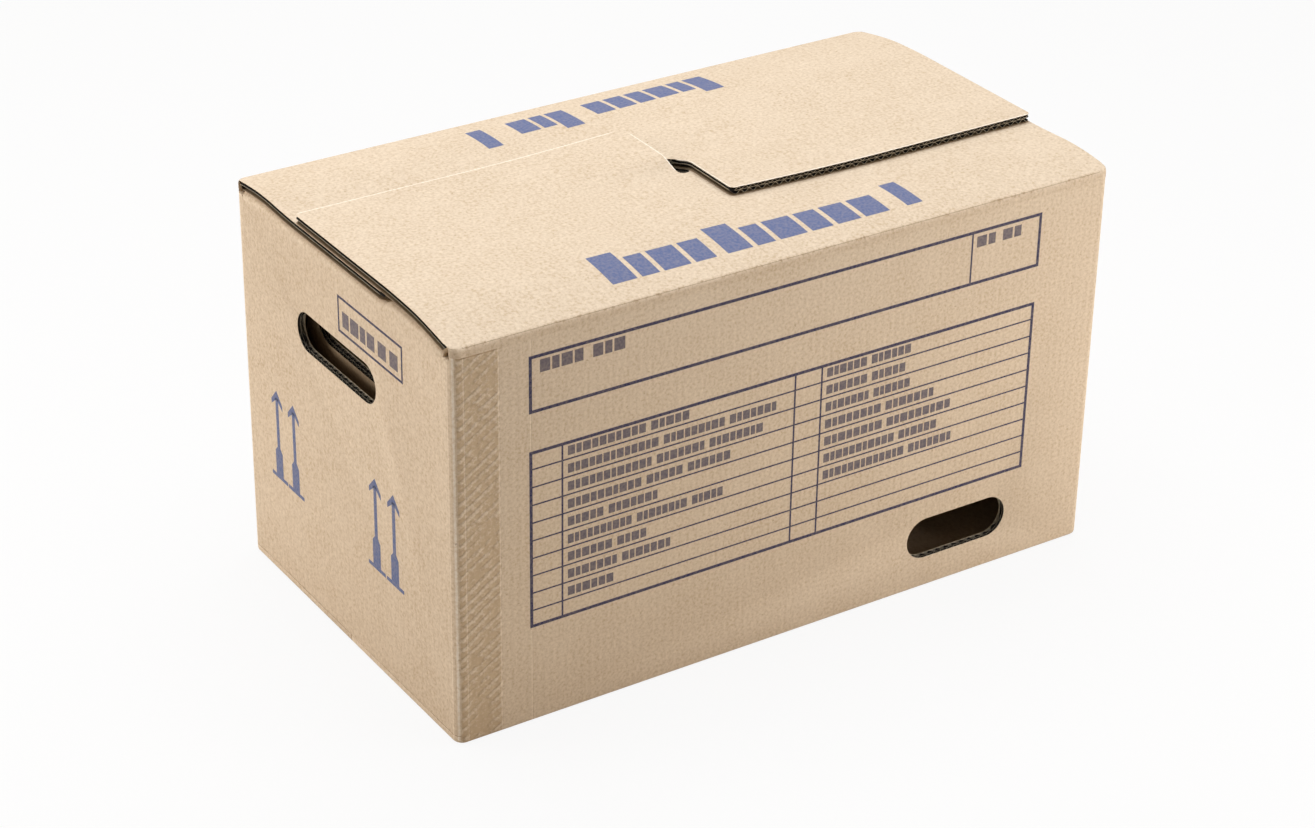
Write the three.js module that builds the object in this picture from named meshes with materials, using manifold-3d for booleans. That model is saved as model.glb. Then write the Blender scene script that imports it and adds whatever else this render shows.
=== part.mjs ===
// Moving box of corrugated board with interlocking top flaps.
// Millimetres, +Z up, +X along the box. The origin is the centre of the bottom face.

import * as THREE from "three";
import { mergeVertices } from "three/addons/utils/BufferGeometryUtils.js";
import Module from "manifold-3d";

// Driving sizes of the folded box
const boxLength = 574;
const boxWidth = 326;
const creaseHeight = 320.8;
const board = 6.5;

// Folds and clearances
const cornerRadius = 8;
const insideCornerRadius = 1.5;
const bottomFoldRadius = 3;
const touchGap = 0.3;
const creaseGap = 0.45;
const arcSteps = 6;

// Interlocking top flaps
const topFlapDepth = 229;
const topFlapEndGap = 0.5;
const lockSlotWidth = 11;
const lockSlotReach = 14;
const flapPlay = 0.4;
const flapCrown = 6.5;
const crownRun = 60;
const twistRun = 150;
const overTongueRadius = { front: 12, rear: 4 };
const flapCornerRadius = 4;

// Short top flaps, folded down inside the ends
const innerPlyDepth = 153;
const innerPlySideGap = 7;
const innerPlyLean = THREE.MathUtils.degToRad(7.5);
const innerPlyCornerRadius = 12;
const foldRadius = board + 0.5;

// Die-cut slots at the corners
const cornerSlotFromSide = 4;
const cornerSlotWidth = 7.5;
const cornerSlotDrop = 9;
const cornerSlotDepth = 5;

// Bottom flaps
const shortBottomFlap = 160;
const bottomSeam = 1;
const bottomFlapSideGap = 3;
const endSeam = 0.6;
const endSeamDepth = 4;

// Glue lap inside the front left corner, pressed thinner than the board
const glueLapWidth = 37;
const glueLapThickness = 4;
const glueLapEndGap = 12;

// Hand holes
const endHole = { length: 121, height: 32, offset: 7.5, z: 240 };
const sideHole = { length: 95, height: 35, offset: 160, z: 44.5 };

const kraft = { body: 0xd2b58f, flap: 0xe0c39c };
const cutClearance = 2;

const halfLength = boxLength / 2;
const halfWidth = boxWidth / 2;
const endWallTop = creaseHeight - board - touchGap;
const foldAxisZ = endWallTop - foldRadius;
const foldHalfWidth = halfWidth - cornerSlotFromSide - cornerSlotWidth;

const wasm = await Module();
wasm.setup();

// A closed three.js geometry as a solid for joins and cuts
function solidOf(geometry) {
  const bare = geometry.index ? geometry.clone() : mergeVertices(geometry.clone());
  bare.deleteAttribute("normal");
  bare.deleteAttribute("uv");
  const merged = mergeVertices(bare, 1e-4);
  return new wasm.Manifold(new wasm.Mesh({
    numProp: 3,
    vertProperties: new Float32Array(merged.attributes.position.array),
    triVerts: new Uint32Array(merged.index.array),
  }));
}

// A solid back to a three.js geometry
function geometryOf(solid) {
  const mesh = solid.getMesh();
  const geometry = new THREE.BufferGeometry();
  geometry.setAttribute("position", new THREE.BufferAttribute(mesh.vertProperties, 3));
  geometry.setIndex(new THREE.BufferAttribute(mesh.triVerts, 1));
  geometry.computeVertexNormals();
  return geometry;
}

function boxSolid(low, high) {
  const size = high.map((value, axis) => value - low[axis]);
  const geometry = new THREE.BoxGeometry(...size);
  geometry.translate(...high.map((value, axis) => (value + low[axis]) / 2));
  return solidOf(geometry);
}

// Rectangle with rounded corners, centred on the origin
function roundedRectangle(length, width, radius) {
  const x = length / 2;
  const y = width / 2;
  const shape = new THREE.Shape();
  shape.moveTo(-x + radius, -y);
  shape.lineTo(x - radius, -y);
  shape.absarc(x - radius, -y + radius, radius, -Math.PI / 2, 0);
  shape.lineTo(x, y - radius);
  shape.absarc(x - radius, y - radius, radius, 0, Math.PI / 2);
  shape.lineTo(-x + radius, y);
  shape.absarc(-x + radius, y - radius, radius, Math.PI / 2, Math.PI);
  shape.lineTo(-x, -y + radius);
  shape.absarc(-x + radius, -y + radius, radius, Math.PI, 1.5 * Math.PI);
  return shape;
}

function extruded(shape, depth, options = {}) {
  return new THREE.ExtrudeGeometry(shape, {
    depth,
    curveSegments: arcSteps,
    bevelEnabled: false,
    ...options,
  });
}

// Cutter for a round-ended hand hole, its long side along X and its axis along Z
function holeCutter(hole, depth) {
  return extruded(roundedRectangle(hole.length, hole.height, hole.height / 2 - 0.01), depth);
}

// Walls and long bottom flaps: a tray with rounded corners and a rounded bottom fold
function trayWithWalls() {
  const outer = extruded(
    roundedRectangle(boxLength, boxWidth, cornerRadius),
    creaseHeight + cutClearance,
    {
      bevelEnabled: true,
      bevelThickness: bottomFoldRadius,
      bevelSize: bottomFoldRadius,
      bevelOffset: -bottomFoldRadius,
      bevelSegments: 3,
    },
  );
  outer.translate(0, 0, bottomFoldRadius);
  const hollow = extruded(
    roundedRectangle(boxLength - 2 * board, boxWidth - 2 * board, insideCornerRadius),
    creaseHeight * 2,
  );
  hollow.translate(0, 0, board);
  const above = boxSolid(
    [-boxLength, -boxWidth, creaseHeight],
    [boxLength, boxWidth, creaseHeight * 2],
  );
  return solidOf(outer).subtract(solidOf(hollow)).subtract(above);
}

// Cutter that bevels the top of a long wall at 45 degrees, down from its outer edge
function creaseCutter() {
  const run = board + cutClearance;
  const triangle = new THREE.Shape();
  triangle.moveTo(0, 0);
  triangle.lineTo(run, -run);
  triangle.lineTo(run, cutClearance);
  triangle.lineTo(0, cutClearance);
  const geometry = extruded(triangle, boxLength + 2 * cutClearance);
  geometry.rotateX(Math.PI / 2);
  geometry.rotateZ(Math.PI / 2);
  geometry.translate(-halfLength - cutClearance, -halfWidth, creaseHeight);
  return solidOf(geometry);
}

// Room above an end wall: down to the fold, with a die-cut slot at each corner
function endWallCutters() {
  const outside = -halfLength - cutClearance;
  const inside = -halfLength + board + cutClearance;
  const top = creaseHeight + cutClearance;
  const slotFloor = creaseHeight - cornerSlotDrop;
  const slotOuter = halfWidth - cornerSlotFromSide;
  const above = boxSolid([outside, -foldHalfWidth, foldAxisZ], [inside, foldHalfWidth, top]);
  const frontSlot = boxSolid([outside, -slotOuter, slotFloor], [inside, -foldHalfWidth, top]);
  const rearSlot = boxSolid([outside, foldHalfWidth, slotFloor], [inside, slotOuter, top]);
  return above.add(frontSlot).add(rearSlot);
}

// Short top flap of the left end: over the wall in a round fold, then down inside
function foldedInnerPly() {
  const halfRound = new THREE.Shape();
  halfRound.absarc(0, 0, foldRadius, 0, Math.PI);
  const fold = extruded(halfRound, 2 * foldHalfWidth - 2 * touchGap);
  fold.rotateX(Math.PI / 2);
  fold.translate(-halfLength + foldRadius, foldHalfWidth - touchGap, foldAxisZ);

  const plyWidth = 2 * (halfWidth - board - innerPlySideGap);
  const plate = new THREE.Shape();
  const halfPly = plyWidth / 2;
  const round = innerPlyCornerRadius;
  plate.moveTo(halfPly, 0);
  plate.lineTo(-halfPly, 0);
  plate.lineTo(-halfPly, -innerPlyDepth + round);
  plate.absarc(-halfPly + round, -innerPlyDepth + round, round, Math.PI, 1.5 * Math.PI);
  plate.lineTo(halfPly - round, -innerPlyDepth);
  plate.absarc(halfPly - round, -innerPlyDepth + round, round, -Math.PI / 2, 0);
  const ply = extruded(plate, board);
  ply.rotateX(Math.PI / 2);
  ply.rotateZ(Math.PI / 2);
  const grip = holeCutter(endHole, board + 2 * cutClearance);
  grip.rotateX(Math.PI / 2);
  grip.rotateZ(Math.PI / 2);
  grip.translate(-cutClearance, endHole.offset, endHole.z - foldAxisZ);
  const shiftIn = foldRadius - board;
  for (const piece of [ply, grip]) {
    piece.translate(shiftIn, 0, 0);
    piece.rotateY(-innerPlyLean);
    piece.translate(-halfLength + foldRadius, 0, foldAxisZ);
  }
  return solidOf(fold).add(solidOf(ply).subtract(solidOf(grip)));
}

// Cutter for the hand hole in the left end wall
function endHoleCutter() {
  const cutter = holeCutter(endHole, board + 2 * cutClearance);
  cutter.rotateX(Math.PI / 2);
  cutter.rotateZ(Math.PI / 2);
  cutter.translate(-halfLength - cutClearance, endHole.offset, endHole.z);
  return solidOf(cutter);
}

// Cutter for the low hand hole in the front wall
function sideHoleCutter() {
  const cutter = holeCutter(sideHole, board + 2 * cutClearance);
  cutter.rotateX(Math.PI / 2);
  cutter.translate(sideHole.offset, -halfWidth + board + cutClearance, sideHole.z);
  return solidOf(cutter);
}

// Short bottom flap of the left end, glued down on the long ones
function shortBottomPlate() {
  const side = halfWidth - board - bottomFlapSideGap;
  const wallInside = -halfLength + board;
  return boxSolid(
    [wallInside - board / 2, -side, board / 2],
    [wallInside + shortBottomFlap, side, 2 * board],
  );
}

// Seam between the left end wall and the ends of the long bottom flaps
function endSeamCutter() {
  return boxSolid(
    [-halfLength - cutClearance, -halfWidth - cutClearance, board],
    [-halfLength + endSeamDepth, halfWidth + cutClearance, board + endSeam],
  );
}

// The same solid turned half a turn about the vertical axis
function turned(solid) {
  return solid.rotate([0, 0, 180]);
}

function cartonBody() {
  let body = trayWithWalls();
  const cuts = [creaseCutter(), endWallCutters(), endHoleCutter(), sideHoleCutter()];
  for (const cut of cuts) {
    body = body.subtract(cut).subtract(turned(cut));
  }
  for (const joined of [foldedInnerPly(), shortBottomPlate()]) {
    body = body.add(joined).add(turned(joined));
  }
  const lapX = -halfLength + board;
  const lapY = -halfWidth + board;
  const glueLap = boxSolid(
    [lapX - board / 2, lapY - board / 2, 2 * board - touchGap],
    [lapX + glueLapWidth, lapY + glueLapThickness, creaseHeight - board - glueLapEndGap],
  );
  const bottomSeamCutter = boxSolid(
    [-halfLength - cutClearance, -bottomSeam / 2, -cutClearance],
    [halfLength + cutClearance, bottomSeam / 2, board],
  );
  const seam = endSeamCutter();
  return body.add(glueLap).subtract(bottomSeamCutter).subtract(seam).subtract(turned(seam));
}

// Evenly spaced stations from one value to another, the last one left out
function stations(from, to, count) {
  return Array.from({ length: count }, (_, step) => from + ((to - from) * step) / count);
}

// Height of the front flap's middle surface above the crease plane's middle.
// The flap bulges up over its crease. Its left half lies on the rear flap and its
// right half under it, and the two halves part at the slot.
function flapLift(x, y) {
  const fromCrease = Math.min(1, (y + halfWidth) / crownRun);
  const crown = flapCrown * Math.sin((fromCrease * Math.PI) / 2);
  const pitch = board + flapPlay;
  const side = -Math.sin((Math.PI / 2) * THREE.MathUtils.clamp(x / twistRun, -1, 1));
  const freeEdge = topFlapDepth - halfWidth;
  const rooted = THREE.MathUtils.smoothstep(y, -halfWidth, -freeEdge);
  const past = THREE.MathUtils.smoothstep(y, -lockSlotReach, lockSlotReach);
  const half = x < 0 ? 1 : -1;
  return crown + (pitch / 2) * side * rooted + pitch * (half - side) * past;
}

// Outline of the front flap seen from above, with its lock slot
function flapOutline(tongueRadius) {
  const end = halfLength - topFlapEndGap;
  const root = -halfWidth - cutClearance;
  const free = topFlapDepth - halfWidth;
  const slot = lockSlotWidth / 2;
  const notchFront = -halfWidth + cornerSlotFromSide;
  const notchRear = notchFront + cornerSlotWidth;
  const notchX = end - cornerSlotDepth;
  const corner = flapCornerRadius;
  const shape = new THREE.Shape();
  shape.moveTo(-end, root);
  shape.lineTo(end, root);
  shape.lineTo(end, notchFront);
  shape.lineTo(notchX, notchFront);
  shape.lineTo(notchX, notchRear);
  shape.lineTo(end, notchRear);
  shape.lineTo(end, free - corner);
  shape.absarc(end - corner, free - corner, corner, 0, Math.PI / 2);
  shape.lineTo(slot + corner, free);
  shape.absarc(slot + corner, free - corner, corner, Math.PI / 2, Math.PI);
  shape.lineTo(slot, -lockSlotReach + slot);
  shape.absarc(0, -lockSlotReach + slot, slot, 0, Math.PI, true);
  shape.lineTo(-slot, free - tongueRadius);
  shape.absarc(-slot - tongueRadius, free - tongueRadius, tongueRadius, 0, Math.PI / 2);
  shape.lineTo(-end + corner, free);
  shape.absarc(-end + corner, free - corner, corner, Math.PI / 2, Math.PI);
  shape.lineTo(-end, notchRear);
  shape.lineTo(-notchX, notchRear);
  shape.lineTo(-notchX, notchFront);
  shape.lineTo(-end, notchFront);
  return shape;
}

// Front flap: a board plate on a grid of stations, lifted to the bent form, then cut to outline
function frontFlap(tongueRadius) {
  const end = halfLength;
  const free = topFlapDepth - halfWidth;
  const slot = lockSlotWidth / 2;
  const across = [
    ...stations(-end, -twistRun, 2),
    ...stations(-twistRun, -slot, 5),
    ...stations(-slot, slot, 1),
    ...stations(slot, twistRun, 5),
    ...stations(twistRun, end, 2),
    end,
  ];
  const outward = [
    ...stations(-halfWidth, -halfWidth + crownRun, 6),
    ...stations(-halfWidth + crownRun, -free, 2),
    ...stations(-free, -lockSlotReach, 1),
    ...stations(-lockSlotReach, lockSlotReach, 6),
    ...stations(lockSlotReach, free, 1),
    free,
  ];
  const plate = new THREE.BoxGeometry(1, 1, 1, across.length - 1, outward.length - 1, 1);
  const position = plate.attributes.position;
  for (let i = 0; i < position.count; i += 1) {
    const x = across[Math.round((position.getX(i) + 0.5) * (across.length - 1))];
    const row = Math.round((position.getY(i) + 0.5) * (outward.length - 1));
    const isTop = position.getZ(i) > 0;
    const mitre = row === 0 ? creaseGap + (isTop ? 0 : board) : 0;
    const y = outward[row] + mitre;
    const middle = creaseHeight - board / 2 + flapLift(x, outward[row]);
    position.setXYZ(i, x, y, middle + (isTop ? board / 2 : -board / 2));
  }
  const outline = extruded(flapOutline(tongueRadius), creaseHeight);
  outline.translate(0, 0, creaseHeight / 2);
  return solidOf(plate).intersect(solidOf(outline));
}

function meshOf(name, solid, colour) {
  const material = new THREE.MeshStandardMaterial({ color: colour, roughness: 0.85, metalness: 0 });
  const mesh = new THREE.Mesh(geometryOf(solid), material);
  mesh.name = name;
  return mesh;
}

const box = new THREE.Group();
box.add(meshOf("carton_body", cartonBody(), kraft.body));
box.add(meshOf("front_flap", frontFlap(overTongueRadius.front), kraft.flap));
box.add(meshOf("rear_flap", turned(frontFlap(overTongueRadius.rear)), kraft.flap));

export default box;
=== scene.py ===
"""Moving box of double-wall corrugated board: fluted cut edges, interlocking flaps, form print."""

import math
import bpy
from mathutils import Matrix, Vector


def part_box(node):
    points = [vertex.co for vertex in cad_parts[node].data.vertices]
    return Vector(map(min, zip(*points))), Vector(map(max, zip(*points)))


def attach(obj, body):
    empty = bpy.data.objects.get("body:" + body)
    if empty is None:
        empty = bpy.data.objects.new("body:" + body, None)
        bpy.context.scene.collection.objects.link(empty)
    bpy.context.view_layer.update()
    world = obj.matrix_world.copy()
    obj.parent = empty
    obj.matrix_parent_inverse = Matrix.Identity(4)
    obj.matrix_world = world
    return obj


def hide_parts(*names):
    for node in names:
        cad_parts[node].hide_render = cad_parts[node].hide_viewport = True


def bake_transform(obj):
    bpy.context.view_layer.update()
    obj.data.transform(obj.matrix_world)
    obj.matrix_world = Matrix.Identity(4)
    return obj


bl_info = {
    "name": "Moving Box",
    "version": (1, 0, 0),
    "blender": (4, 5, 0),
    "location": "View3D > Sidebar > Moving Box",
    "description": "Corrugated moving box with interlocking flaps, fluted edges and form print",
    "category": "Add Mesh",
}

from functools import partialmethod

import bmesh
import bpy
import numpy as np
from bpy.props import FloatProperty, FloatVectorProperty, PointerProperty, StringProperty
from mathutils import Matrix, Vector

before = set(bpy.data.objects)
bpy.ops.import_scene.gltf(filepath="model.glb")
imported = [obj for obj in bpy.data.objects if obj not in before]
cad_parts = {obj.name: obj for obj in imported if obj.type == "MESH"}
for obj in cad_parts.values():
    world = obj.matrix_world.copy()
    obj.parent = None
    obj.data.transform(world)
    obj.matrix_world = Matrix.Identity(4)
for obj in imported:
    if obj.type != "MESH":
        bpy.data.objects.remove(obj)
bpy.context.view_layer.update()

body_low, body_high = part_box("carton_body")
flap_low, flap_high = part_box("front_flap")
HALF_LENGTH = body_high.x
HALF_WIDTH = body_high.y
CREASE_Z = body_high.z
FLAP_END = flap_high.x
FREE_EDGE = flap_high.y
MM = 0.001

# Rows of a curved sheet lie this far apart, and each flute has this many columns
LINER_STEP = 6.0 * MM
FLUTE_STEPS = 8
CORE_LAYERS = ("fine", "middle", "coarse")
# The fluted layers stop this short of the flaps' ends
DRAWN_BACK = 2.4 * MM
# The crease sheet runs this far down the wall and along the flap, and stops short of the ends
CREASE_DROP = 7.0 * MM
CREASE_REACH = 10.0 * MM
CREASE_END = 0.4 * MM
# The carton is drawn in by the skin. Print starts at the lift outside it and is as thick as the ink
SKIN = 0.12 * MM
INK_LIFT = 0.03 * MM
INK = 0.05 * MM


def length(name, description, default):
    """A length that the user can change."""
    return FloatProperty(name=name, description=description, default=default, unit="LENGTH")


def angle(name, description, degrees):
    """An angle that the user can change."""
    default = math.radians(degrees)
    return FloatProperty(name=name, description=description, default=default, subtype="ANGLE")


def number(name, description, default):
    """A plain number that the user can change."""
    return FloatProperty(name=name, description=description, default=default)


def colour(name, description, default):
    """A colour that the user can change, as an sRGB hex value."""
    return StringProperty(name=name, description=description, default=default)


class MovingBoxSizes(bpy.types.PropertyGroup):
    """Sizes of the board, its folds, cuts and flutes."""

    board: length("Board", "Thickness of the double-wall board", 0.0065)
    liner: length("Liner", "Thickness of one paper layer", 0.0003)
    fine_flute: length("Fine flute", "Height of the outer fluted layer", 0.0023)
    fine_pitch: length("Fine pitch", "Spacing of the outer flutes", 0.0065)
    coarse_flute: length("Coarse flute", "Height of the inner fluted layer", 0.0031)
    coarse_pitch: length("Coarse pitch", "Spacing of the inner flutes", 0.0078)
    edge_band: length("Edge band", "How far the flutes run in from a cut edge", 0.016)
    wall_corner: length("Wall corner", "Outer radius of the upright folds", 0.008)
    crease_radius: length("Crease radius", "Outer radius of the top folds", 0.003)
    crease_gap: length("Crease gap", "Gap in the mitre of the top folds", 0.00045)
    crown: length("Crown", "How far the closed flaps bulge up", 0.0065)
    crown_run: length("Crown run", "Distance from the crease to the full bulge", 0.06)
    twist_run: length("Twist run", "Half the length over which a flap passes from over to under", 0.15)
    play: length("Play", "Clearance between the locked flaps", 0.0004)
    slot_width: length("Slot width", "Width of the lock slots", 0.011)
    slot_reach: length("Slot reach", "How far a slot runs past the middle", 0.014)
    flap_corner: length("Flap corner", "Radius of the flaps' free corners", 0.004)
    front_tongue: length("Front tongue corner", "Radius of the front flap's corner at the slot", 0.012)
    rear_tongue: length("Rear tongue corner", "Radius of the rear flap's corner at the slot", 0.004)
    hole_margin: length("Hole margin", "Depth of the flutes that show round a hand hole", 0.005)


class MovingBoxColours(bpy.types.PropertyGroup):
    """Paper, ink and backdrop colours as sRGB hex values."""

    kraft: colour("Kraft", "Liner paper, middle tone", "#D8C2A6")
    kraft_light: colour("Light fibres", "Palest fibres", "#E6D1B5")
    kraft_dark: colour("Dark fibres", "Darkest fibres", "#C6AC8B")
    rubbed: colour("Rubbed edges", "Raised fibres on edges", "#F6E9D6")
    # Painted shade: multiplies the paper inside the walls and on the flaps' inner liner
    inside_shade: colour("Inner tint", "Grey of the inner liner", "#C4BBAE")
    # Also the colour of the fold cracks and of the painted shade line under the front fold
    fleck_crack_and_shade: colour("Flecks", "Bark flecks in the paper", "#A98B69")
    # Pale cut ends: partly the papers' own colour and partly a painted highlight
    flute: colour("Flute ends", "Cut ends of the inner papers", "#E9DABD")
    # Painted shade: near black for the hollows inside the board behind a cut edge
    core: colour("Core", "Fluted paper deep inside the board", "#1E1711")
    ink: colour("Ink", "Blue printing ink", "#52618A")
    ink_dark: colour("Form ink", "Ink of the form's lines", "#32304F")
    backdrop: colour("Backdrop", "Floor and backdrop", "#DAD5CE")
    room: colour("Room", "Soft light from all sides", "#FFEDD9")
    lamp: colour("Top lamp", "Light of the overhead lamp", "#EAF3FF")
    side_lamp: colour("Side lamps", "Light of the side lamps", "#F4F4F6")


class MovingBoxStage(bpy.types.PropertyGroup):
    """Camera and light."""

    aim: FloatVectorProperty(
        name="Aim", description="Point on the camera's axis", default=(-0.0545, -0.0631, 0.160),
        subtype="TRANSLATION",
    )
    distance: length("Distance", "From the aim to the camera", 2.4041)
    azimuth: angle("Azimuth", "Turn of the camera from the box's front", -33.246)
    elevation: angle("Elevation", "Camera height above the horizon", 28.8)
    roll: angle("Roll", "Turn about the camera's axis", 0.909)
    lens: number("Lens", "Focal length in millimetres", 87.33)
    top_light: number("Top light", "Power of the overhead lamp in watts", 83.0)
    left_light: number("Left light", "Power of the left lamp in watts", 17.2)
    right_light: number("Right light", "Power of the right lamp in watts", 7.0)
    ambient: number("Ambient", "Strength of the room light", 0.33)


def sizes():
    return bpy.context.scene.moving_box_sizes


def colours():
    return bpy.context.scene.moving_box_colours


def linear(hex_colour):
    """An sRGB hex value as linear red, green, blue and a full alpha."""
    parts = [int(hex_colour[i : i + 2], 16) / 255 for i in (1, 3, 5)]
    return [p / 12.92 if p <= 0.04045 else ((p + 0.055) / 1.055) ** 2.4 for p in parts] + [1.0]


def add(tree, kind, inputs=None, **settings):
    """A new node with its settings, values and links."""
    node = tree.nodes.new(kind)
    for key, value in settings.items():
        setattr(node, key, value)
    for key, value in (inputs or {}).items():
        value = getattr(value, "socket", value)
        if isinstance(value, bpy.types.NodeSocket):
            tree.links.new(value, node.inputs[key])
        else:
            node.inputs[key].default_value = value
    return node


def smooth_step(value, low, high):
    """0 below low, 1 above high, 3t^2 - 2t^3 between."""
    t = np.clip((value - low) / (high - low), 0.0, 1.0)
    return t * t * (3.0 - 2.0 * t)


def half_turn(points):
    """Points turned half a turn about the box's upright axis: x and y change sign."""
    return points * np.array([-1.0, -1.0, 1.0])


def grid_faces(rows, columns, closed=False):
    """Quads of a rows x columns grid of vertices, joined round in the row direction if closed."""
    row = np.arange(rows if closed else rows - 1)
    low, side = np.meshgrid(row, np.arange(columns - 1), indexing="ij")
    high = (low + 1) % rows
    near, far = low * columns + side, high * columns + side
    return np.stack([near, far, far + 1, near + 1], axis=-1).reshape(-1, 4)


def mesh_object(name, vertices, faces, material, cut_depth=None):
    """An object at the origin from an array of vertices and an array of faces, doubles merged.

    cut_depth is how far each vertex lies behind the board's cut edge, kept in millimetres."""
    mesh = bpy.data.meshes.new(name)
    mesh.from_pydata(vertices.reshape(-1, 3), [], faces.tolist())
    if cut_depth is not None:
        kept = mesh.attributes.new("cut_depth", "FLOAT", "POINT")
        kept.data.foreach_set("value", np.ravel(cut_depth) / MM)
    work = bmesh.new()
    work.from_mesh(mesh)
    bmesh.ops.remove_doubles(work, verts=work.verts, dist=1e-6)
    bmesh.ops.recalc_face_normals(work, faces=work.faces)
    work.to_mesh(mesh)
    work.free()
    mesh.materials.append(material)
    piece = bpy.data.objects.new(name, mesh)
    bpy.context.scene.collection.objects.link(piece)
    return piece


def apply_modifiers(piece, sharp_angle=math.radians(35)):
    """The piece's modifiers become its mesh, shaded smooth except at sharp edges."""
    graph = bpy.context.evaluated_depsgraph_get()
    mesh = bpy.data.meshes.new_from_object(piece.evaluated_get(graph))
    piece.modifiers.clear()
    piece.data = mesh
    mesh.polygons.foreach_set("use_smooth", np.ones(len(mesh.polygons), bool))
    mesh.set_sharp_from_angle(angle=sharp_angle)


def thicken(piece, thickness):
    """A paper thickness, half to each side of the sheet."""
    solidify = piece.modifiers.new("thickness", "SOLIDIFY")
    solidify.thickness = thickness
    solidify.offset = 0.0
    apply_modifiers(piece)


def join_sheets(sheets):
    """One vertex array and one face array from several."""
    vertices = np.concatenate([points.reshape(-1, 3) for points, _ in sheets])
    offsets = np.cumsum([0] + [points.reshape(-1, 3).shape[0] for points, _ in sheets[:-1]])
    faces = np.concatenate([quads + offset for (_, quads), offset in zip(sheets, offsets)])
    return vertices, faces


def board_layers():
    """Depth of each layer's middle below the outer face, with its flute height and pitch."""
    s = sizes()
    fine = s.liner + s.fine_flute / 2
    middle = 1.5 * s.liner + s.fine_flute
    coarse = 2 * s.liner + s.fine_flute + s.coarse_flute / 2
    return {
        "outer": (s.liner / 2, 0.0, 1.0),
        "fine": (fine, s.fine_flute, s.fine_pitch),
        "middle": (middle, 0.0, 1.0),
        "coarse": (coarse, s.coarse_flute, s.coarse_pitch),
        "inner": (s.board - s.liner / 2, 0.0, 1.0),
    }


def flute(along, height, pitch):
    """Sine wave of a fluted layer: it touches the liners at its crests."""
    if height == 0.0:
        return np.zeros_like(along)
    return (height - sizes().liner) / 2 * np.sin(2 * np.pi * along / pitch)


def flap_lift(x, y):
    """Height of the closed front flap over its place at the crease.

    A quarter sine over the crown run, plus half a board pitch up on the left and down on the
    right, plus a smooth step across the slots that takes each tongue over or under."""
    s = sizes()
    crown = s.crown * np.sin(np.pi / 2 * np.clip((y + HALF_WIDTH) / s.crown_run, 0, 1))
    pitch = s.board + s.play
    side = -np.sin(np.pi / 2 * np.clip(x / s.twist_run, -1, 1))
    rooted = smooth_step(y, -HALF_WIDTH, -FREE_EDGE)
    past = smooth_step(y, -s.slot_reach, s.slot_reach)
    half = np.where(x < 0, 1.0, -1.0)
    return crown + pitch / 2 * side * rooted + pitch * (half - side) * past


def column_places(start, end, start_radius, end_radius, step):
    """Column places from start to end, cosine spaced within each corner's radius."""
    turn = np.linspace(0, np.pi / 2, 7)
    count = max(2, int(round((end - end_radius - start - start_radius) / step)) + 1)
    places = np.concatenate([
        start + start_radius * (1 - np.cos(turn)),
        np.linspace(start + start_radius, end - end_radius, count),
        end - end_radius * (1 - np.cos(turn)),
    ])
    return np.unique(np.round(places, 8))


def rounded_end(x, start, end, start_radius, end_radius):
    """How far an edge is drawn back at x by the round corners at start and end: r - sqrt(r^2 - t^2)."""
    t_start = np.clip(start + start_radius - x, 0, start_radius)
    t_end = np.clip(x - end + end_radius, 0, end_radius)
    drawn = start_radius - np.sqrt(start_radius**2 - t_start**2)
    return drawn + end_radius - np.sqrt(end_radius**2 - t_end**2)


def corner_shift(x):
    """How far the walls' round upright folds draw the crease back at x: r - sqrt(r^2 - t^2)."""
    radius = sizes().wall_corner
    t = np.clip(np.abs(x) - HALF_LENGTH + radius, 0, radius)
    return radius - np.sqrt(radius**2 - t**2)


# Rows of a tongue as shares of its depth, closest where it passes the other flap
TONGUE_ROWS = np.concatenate([
    np.linspace(0, 0.3, 8), np.linspace(0.3, 0.75, 5)[1:], np.linspace(0.75, 1, 5)[1:]
])


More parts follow.
